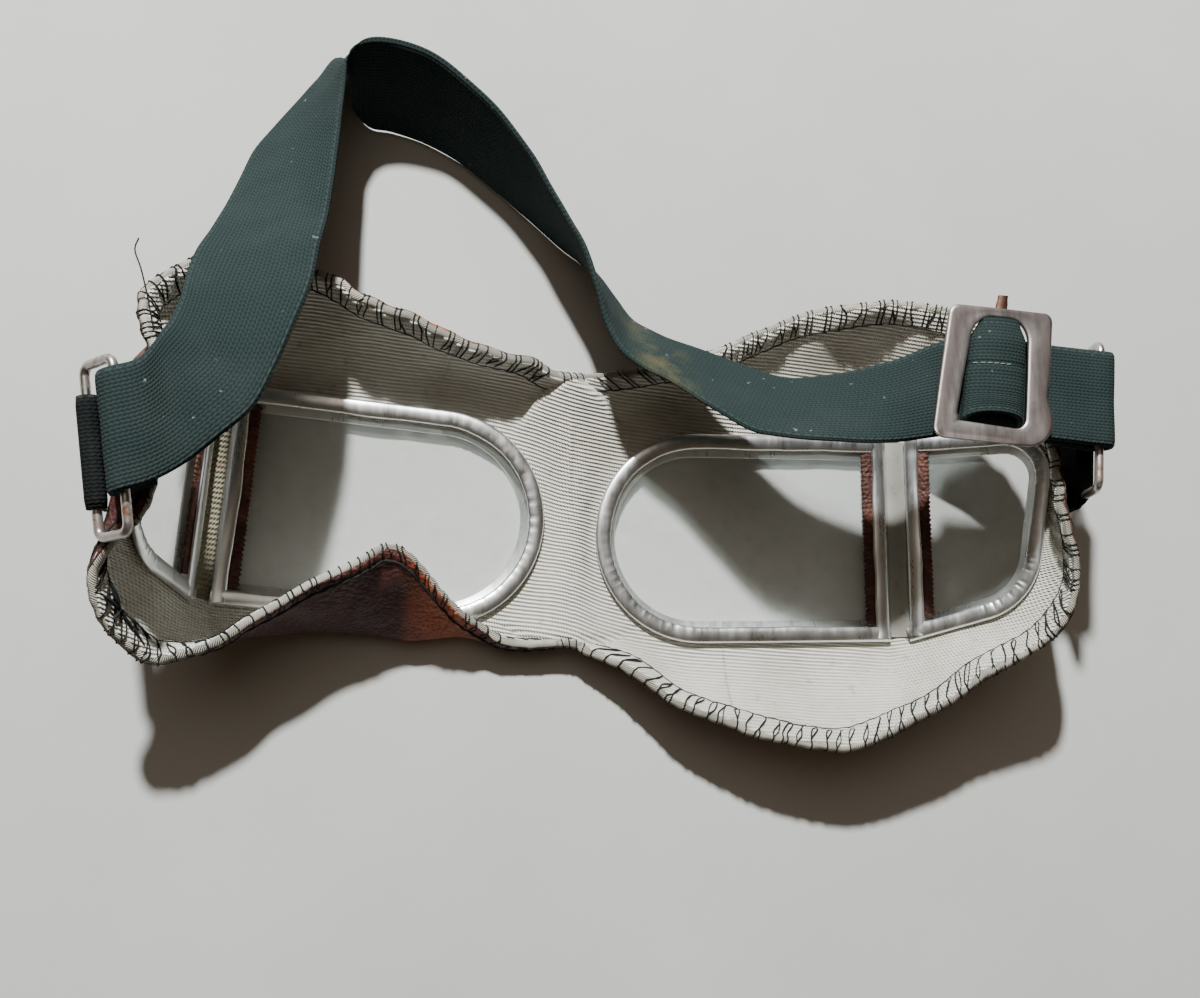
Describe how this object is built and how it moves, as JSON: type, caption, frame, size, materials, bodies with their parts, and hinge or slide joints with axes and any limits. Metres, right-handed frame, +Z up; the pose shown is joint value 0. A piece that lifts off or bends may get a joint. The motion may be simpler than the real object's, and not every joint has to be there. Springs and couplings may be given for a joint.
{
  "type": "welding goggles",
  "caption": "Folding goggles with flat glass front and side panes in crimped metal frames, a leather mask with woven lining, and an elastic strap with a slide buckle.",
  "frame": {"origin": "centre of the goggles' outline, on the surface that they lie on", "axes": "+X towards the right-hand pane of this view, +Y towards the brow, +Z up towards the wearer's face"},
  "size_m": [0.1815, 0.133, 0.0402],
  "materials": {
    "aluminium": "bright, worn and crimped",
    "glass": "clear, faint green-grey",
    "leather": "worn red-brown",
    "lining": "cream cotton twill",
    "thread": "black overcast stitching",
    "webbing": "dark green-black elastic",
    "steel": "tarnished wire",
    "buckle": "tarnished, faintly coppery"
  },
  "bodies": {
    "right_front": {"right_front_rim": "aluminium", "right_front_glass": "glass", "right_divider_front_leather": "leather", "right_divider_tape": "lining", "right_front_leather": "leather", "right_front_lining": "lining", "right_front_edging": "thread", "strap_right": "webbing"},
    "left_front": {"left_front_rim": "aluminium", "left_front_glass": "glass", "left_divider_front_leather": "leather", "left_divider_tape": "lining", "left_front_leather": "leather", "left_front_lining": "lining", "left_front_edging": "thread", "strap_left": "webbing"},
    "right_side": {"right_side_rim": "aluminium", "right_side_glass": "glass", "right_divider_side_leather": "leather", "right_side_leather": "leather", "right_side_lining": "lining", "right_side_edging": "thread", "right_tab": "webbing", "right_ring": "steel", "strap_right_end": "webbing"},
    "left_side": {"left_side_rim": "aluminium", "left_side_glass": "glass", "left_divider_side_leather": "leather", "left_side_leather": "leather", "left_side_lining": "lining", "left_side_edging": "thread", "left_tab": "webbing", "left_ring": "steel", "strap_left_end": "webbing"},
    "buckle": {"buckle_plate": "buckle", "buckle_bar": "steel", "strap_end_loop": "webbing"}
  },
  "joints": [
    {"name": "bridge_fold", "type": "hinge", "parent": "right_front", "child": "left_front", "pos_m": [-0.0073, -0.0234, 0.002], "axis": [0, 1, 0], "range_deg": [-4, 15]},
    {"name": "right_pane_fold", "type": "hinge", "parent": "right_front", "child": "right_side", "pos_m": [0.0583, -0.026, 0.0033], "axis": [0, -1, 0], "range_deg": [-16, 8]},
    {"name": "left_pane_fold", "type": "hinge", "parent": "left_front", "child": "left_side", "pos_m": [-0.07259, -0.01848, 0.0033], "axis": [0.1011, 0.9949, 0], "range_deg": [-24, 4]},
    {"name": "buckle_slide", "type": "slide", "parent": "right_side", "child": "buckle", "axis": [0.9999, 0.01, 0.01], "range_m": [-0.003, 0.006]}
  ]
}
